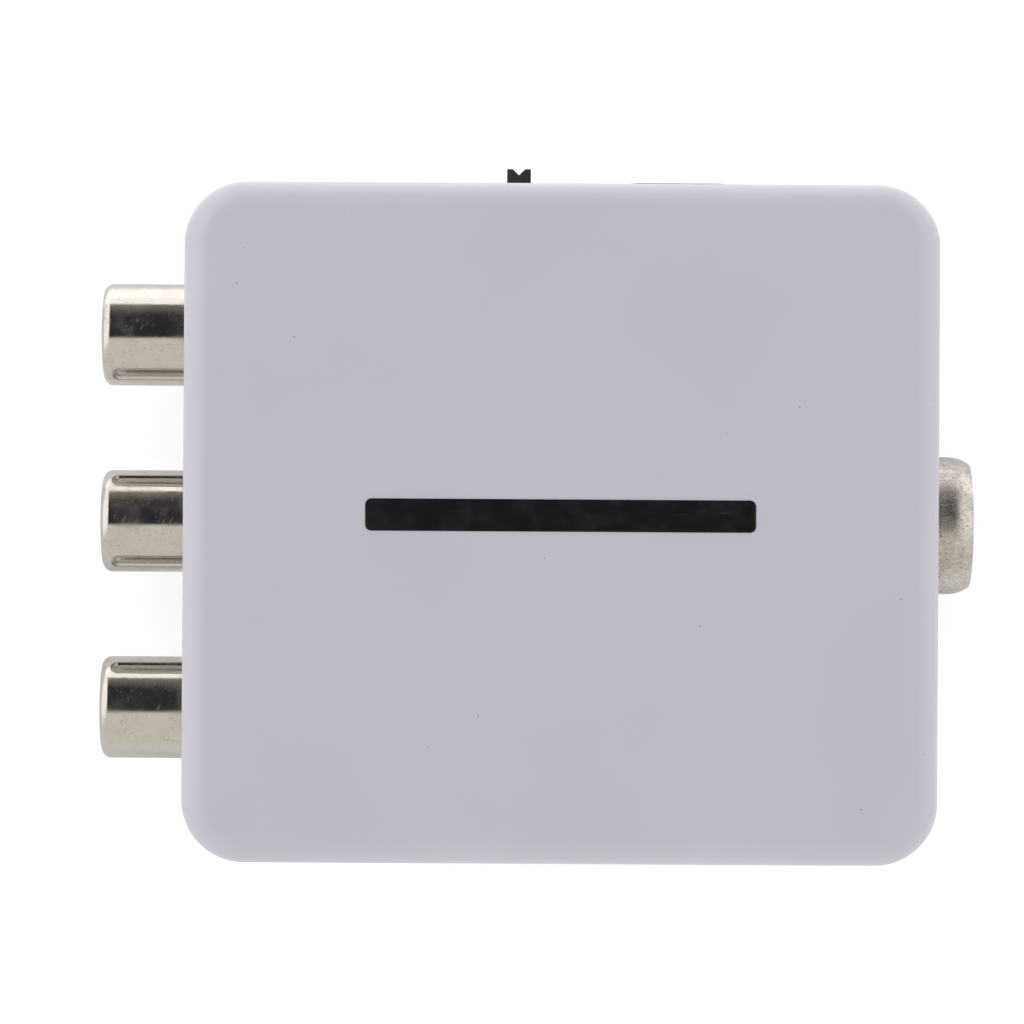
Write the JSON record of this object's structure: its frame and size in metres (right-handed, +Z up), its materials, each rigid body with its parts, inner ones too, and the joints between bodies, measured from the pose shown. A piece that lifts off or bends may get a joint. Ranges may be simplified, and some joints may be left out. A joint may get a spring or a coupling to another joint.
{
  "type": "rf modulator",
  "caption": "Small flat box that turns composite video and stereo sound into an aerial signal, with phono jacks, coaxial aerial socket, power socket and channel switch.",
  "frame": {"origin": "middle of the case's underside, centred on the case without its sockets", "axes": "+X towards the aerial socket, +Y towards the side with the switch and power socket, +Z up through the lid"},
  "size_m": [0.0706, 0.0563, 0.0201],
  "materials": {
    "case_plastic": "smooth satin-gloss moulding in pale grey-lilac",
    "black_ink": "thin black pad-printed ink",
    "board_laminate": "green solder mask over glass laminate",
    "black_plastic": "moulded black plastic",
    "jack_nickel": "polished nickel plate on pressed sheet",
    "yellow_plastic": "moulded yellow plastic",
    "white_plastic": "moulded white plastic",
    "red_plastic": "moulded red plastic",
    "contact_metal": "plated spring brass",
    "cast_nickel": "rough die-cast metal with dull nickel plate",
    "tinned_steel": "tin-plated sheet",
    "brown_laminate": "paper laminate",
    "aluminium_can": "drawn aluminium can",
    "black_ceramic": "glazed chip resistor",
    "tan_ceramic": "fired chip capacitor"
  },
  "bodies": {
    "housing": {"top_shell": "case_plastic", "bottom_shell": "case_plastic", "printed_stripe": "black_ink", "circuit_board": "board_laminate", "jack_block": "black_plastic", "jack_barrel_yellow": "jack_nickel", "jack_barrel_white": "jack_nickel", "jack_barrel_red": "jack_nickel", "jack_insert_yellow": "yellow_plastic", "jack_insert_white": "white_plastic", "jack_insert_red": "red_plastic", "jack_contact_yellow": "contact_metal", "jack_contact_white": "contact_metal", "jack_contact_red": "contact_metal", "aerial_socket_body": "cast_nickel", "aerial_socket_insulator": "white_plastic", "aerial_socket_contact": "contact_metal", "power_socket_shell": "tinned_steel", "power_socket_tongue": "black_plastic", "power_socket_contacts": "contact_metal", "switch_frame": "tinned_steel", "switch_base": "brown_laminate", "switch_terminals": "contact_metal", "shield_fence": "tinned_steel", "shield_lid": "tinned_steel", "modulator_chip": "black_plastic", "modulator_chip_leads": "tinned_steel", "regulator_body": "black_plastic", "regulator_leads": "tinned_steel", "crystal_can": "tinned_steel", "crystal_base": "tinned_steel", "capacitor_cans": "aluminium_can", "capacitor_bases": "black_plastic", "chip_resistors": "black_ceramic", "chip_capacitors": "tan_ceramic"},
    "channel_switch": {"switch_knob": "black_plastic", "switch_wiper": "contact_metal"}
  },
  "joints": [
    {"name": "channel_switch_slide", "type": "slide", "parent": "housing", "child": "channel_switch", "axis": [1, 0, 0], "range_m": [0, 0.002]}
  ]
}
